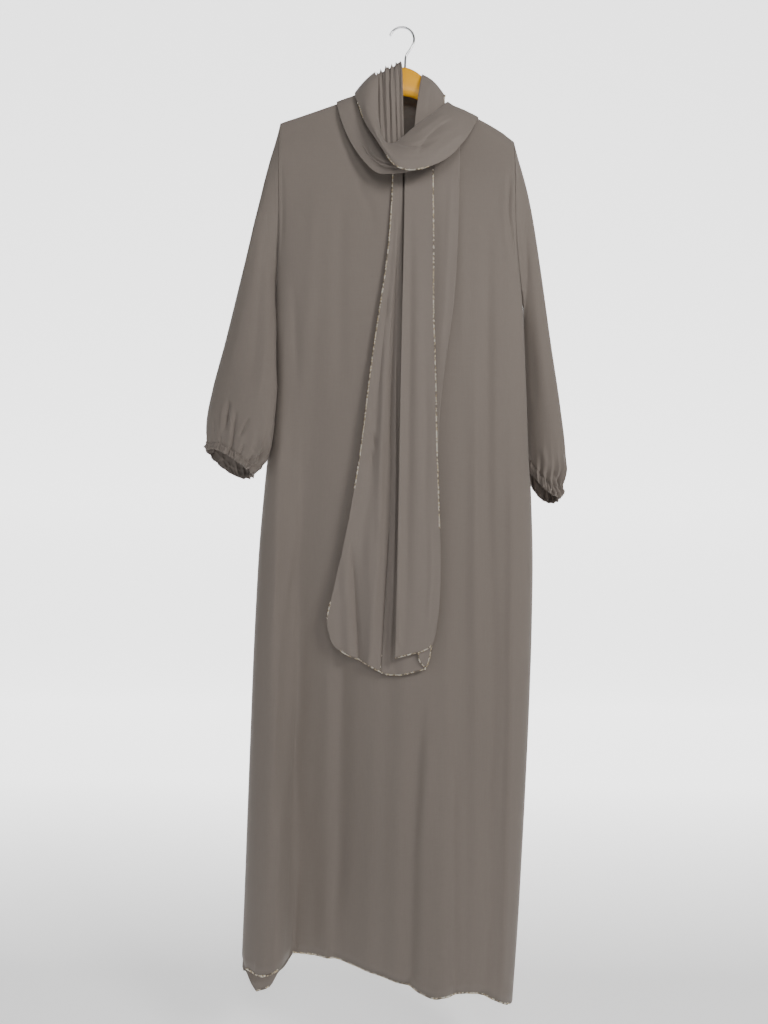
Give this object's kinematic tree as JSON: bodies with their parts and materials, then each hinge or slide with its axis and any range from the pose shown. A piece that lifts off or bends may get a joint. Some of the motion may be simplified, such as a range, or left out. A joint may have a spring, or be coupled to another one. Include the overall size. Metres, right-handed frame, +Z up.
{
  "type": "abaya with a wound scarf on a hanger",
  "caption": "Long loose plain abaya with elasticated cuffs, hung on a wooden hanger with a wire hook, its own scarf wound about the hanger's neck and hanging in two ends.",
  "frame": {"origin": "the inner top of the hanger's hook, where it rests on what holds it up", "axes": "+Z up; -Y is the garment's front; +X is to the right as the front is seen, which is the wearer's left"},
  "size_m": [0.6212, 0.1306, 1.6427],
  "materials": {
    "crepe": "matt crepe, taupe",
    "scarf_crepe": "matt crepe, taupe, with a gold overlocked edge",
    "varnished_wood": "clear varnish, yellow",
    "bright_wire": "bright plated",
    "gold_thread": "metallic thread"
  },
  "bodies": {
    "root": {"abaya_front": "crepe", "abaya_back": "crepe", "sleeve_left": "crepe", "sleeve_right": "crepe", "scarf_end_left": "scarf_crepe", "scarf_end_right": "scarf_crepe", "scarf_end_rear": "scarf_crepe", "scarf_cowl": "scarf_crepe", "scarf_band_left": "scarf_crepe", "scarf_neck_left": "scarf_crepe", "scarf_neck_right": "scarf_crepe", "scarf_back": "scarf_crepe", "hanger_wood": "varnished_wood", "hanger_hook": "bright_wire"}
  },
  "joints": []
}
